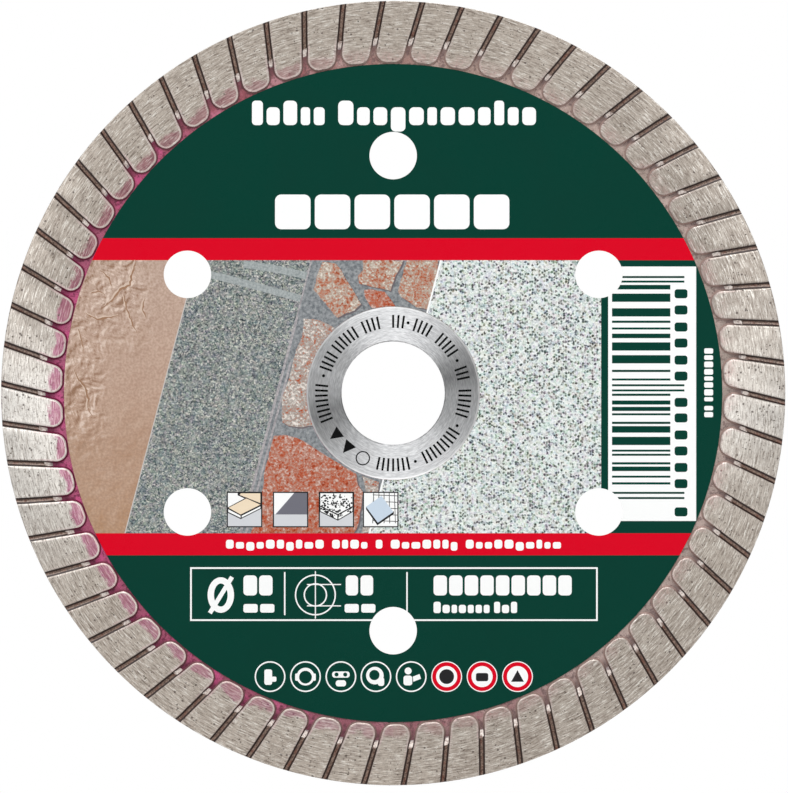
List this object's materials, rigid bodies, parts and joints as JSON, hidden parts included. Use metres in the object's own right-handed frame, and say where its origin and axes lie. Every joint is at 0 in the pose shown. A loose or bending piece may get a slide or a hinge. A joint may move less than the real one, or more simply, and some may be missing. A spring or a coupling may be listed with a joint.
{
  "type": "diamond blade",
  "caption": "Small dry-cutting diamond blade for tiles: flat steel core with a plain bore, vent holes, a continuous turbo rim and a printed label.",
  "frame": {"origin": "middle of the bore, halfway through the steel core", "axes": "+Y along the spin axis from the printed front to the back, +Z towards the top of the label, +X to the right of the label as it is read"},
  "size_m": [0.076, 0.002, 0.076],
  "materials": {
    "core_steel": "ground in circles around the bore",
    "foot_bond": "sintered, smooth",
    "diamond_bond": "sintered, ribs ground flat",
    "diamond": "broken crystal faces",
    "lacquer": "thin gloss coat",
    "adhesive": "clear film of glue",
    "label": "printed film, satin gloss",
    "ink": "matte print"
  },
  "bodies": {
    "root": {"steel_core": "core_steel", "foot_ring": "foot_bond", "bond_rim": "diamond_bond", "grit_front": "diamond", "grit_back": "diamond", "grit_edge": "diamond", "lacquer_front": "lacquer", "lacquer_back": "lacquer", "label_adhesive": "adhesive", "label_film": "label", "hub_marks": "ink"}
  },
  "joints": []
}
